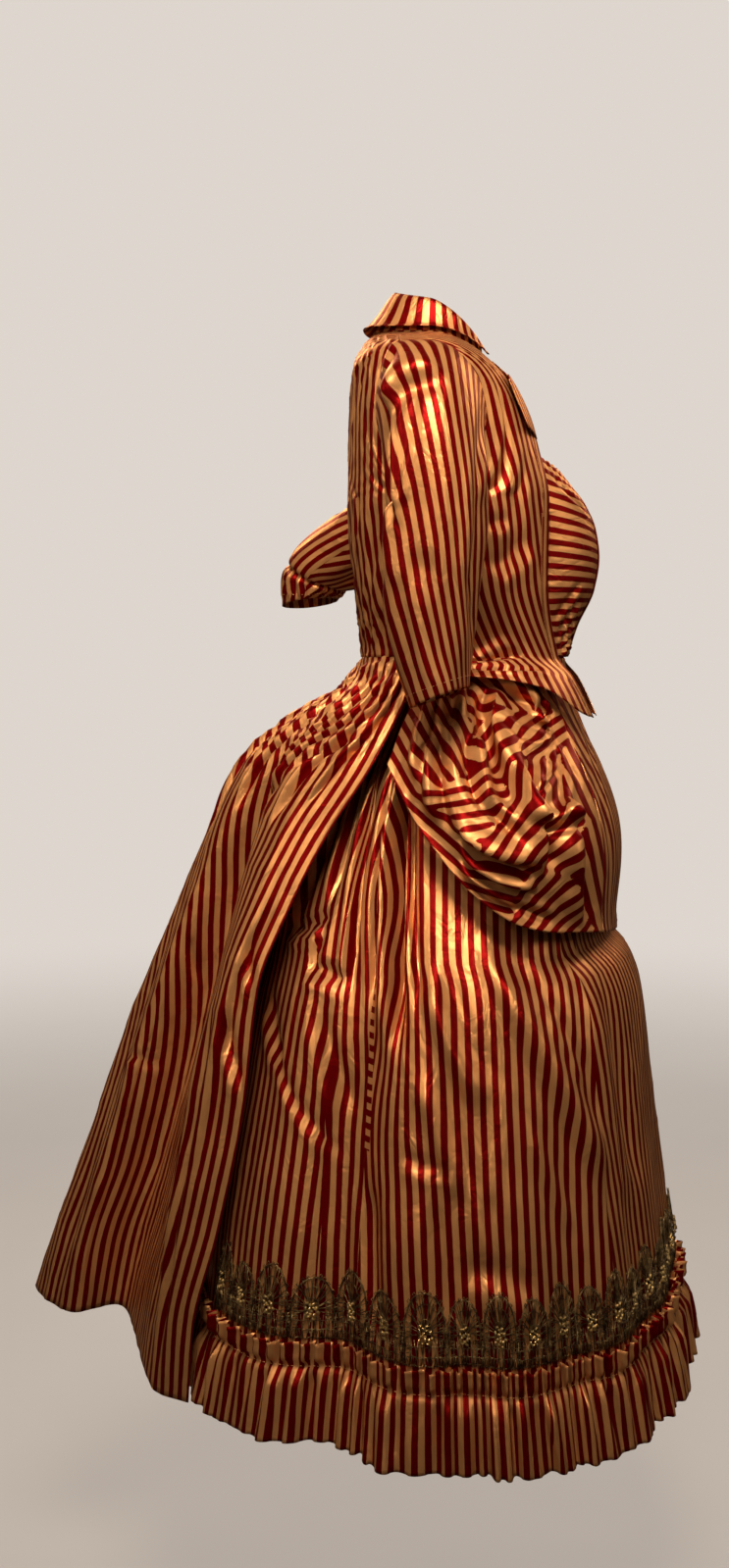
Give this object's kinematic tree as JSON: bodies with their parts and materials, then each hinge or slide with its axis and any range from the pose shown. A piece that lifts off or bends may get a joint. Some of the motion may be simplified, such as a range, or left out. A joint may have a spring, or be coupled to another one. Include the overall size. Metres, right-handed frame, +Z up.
{
  "type": "bustle dress",
  "caption": "Bustle dress in striped satin: shirred bodice with swelling bust front, elbow sleeves, swagged side drapes, trained back and a skirt with metallic lace over a gathered hem flounce",
  "frame": {"origin": "base of the neck, midway between the shoulders of the wearer", "axes": "+Z up, -Y to the front of the wearer, +X to the wearer's left"},
  "size_m": [0.7358, 0.7821, 1.1792],
  "materials": {
    "striped_satin": "glossy red and old gold stripes",
    "metallic_lace": "tarnished metal thread"
  },
  "bodies": {
    "root": {"bodice_back": "striped_satin", "bodice_front_right": "striped_satin", "bodice_front_left": "striped_satin", "plastron_right": "striped_satin", "plastron_left": "striped_satin", "front_band": "striped_satin", "collar": "striped_satin", "lapel_right": "striped_satin", "lapel_left": "striped_satin", "sleeve_right": "striped_satin", "sleeve_left": "striped_satin", "pannier_right": "striped_satin", "pannier_left": "striped_satin", "front_drape": "striped_satin", "train": "striped_satin", "underskirt": "striped_satin", "flounce": "striped_satin", "lace_trim": "metallic_lace"}
  },
  "joints": []
}
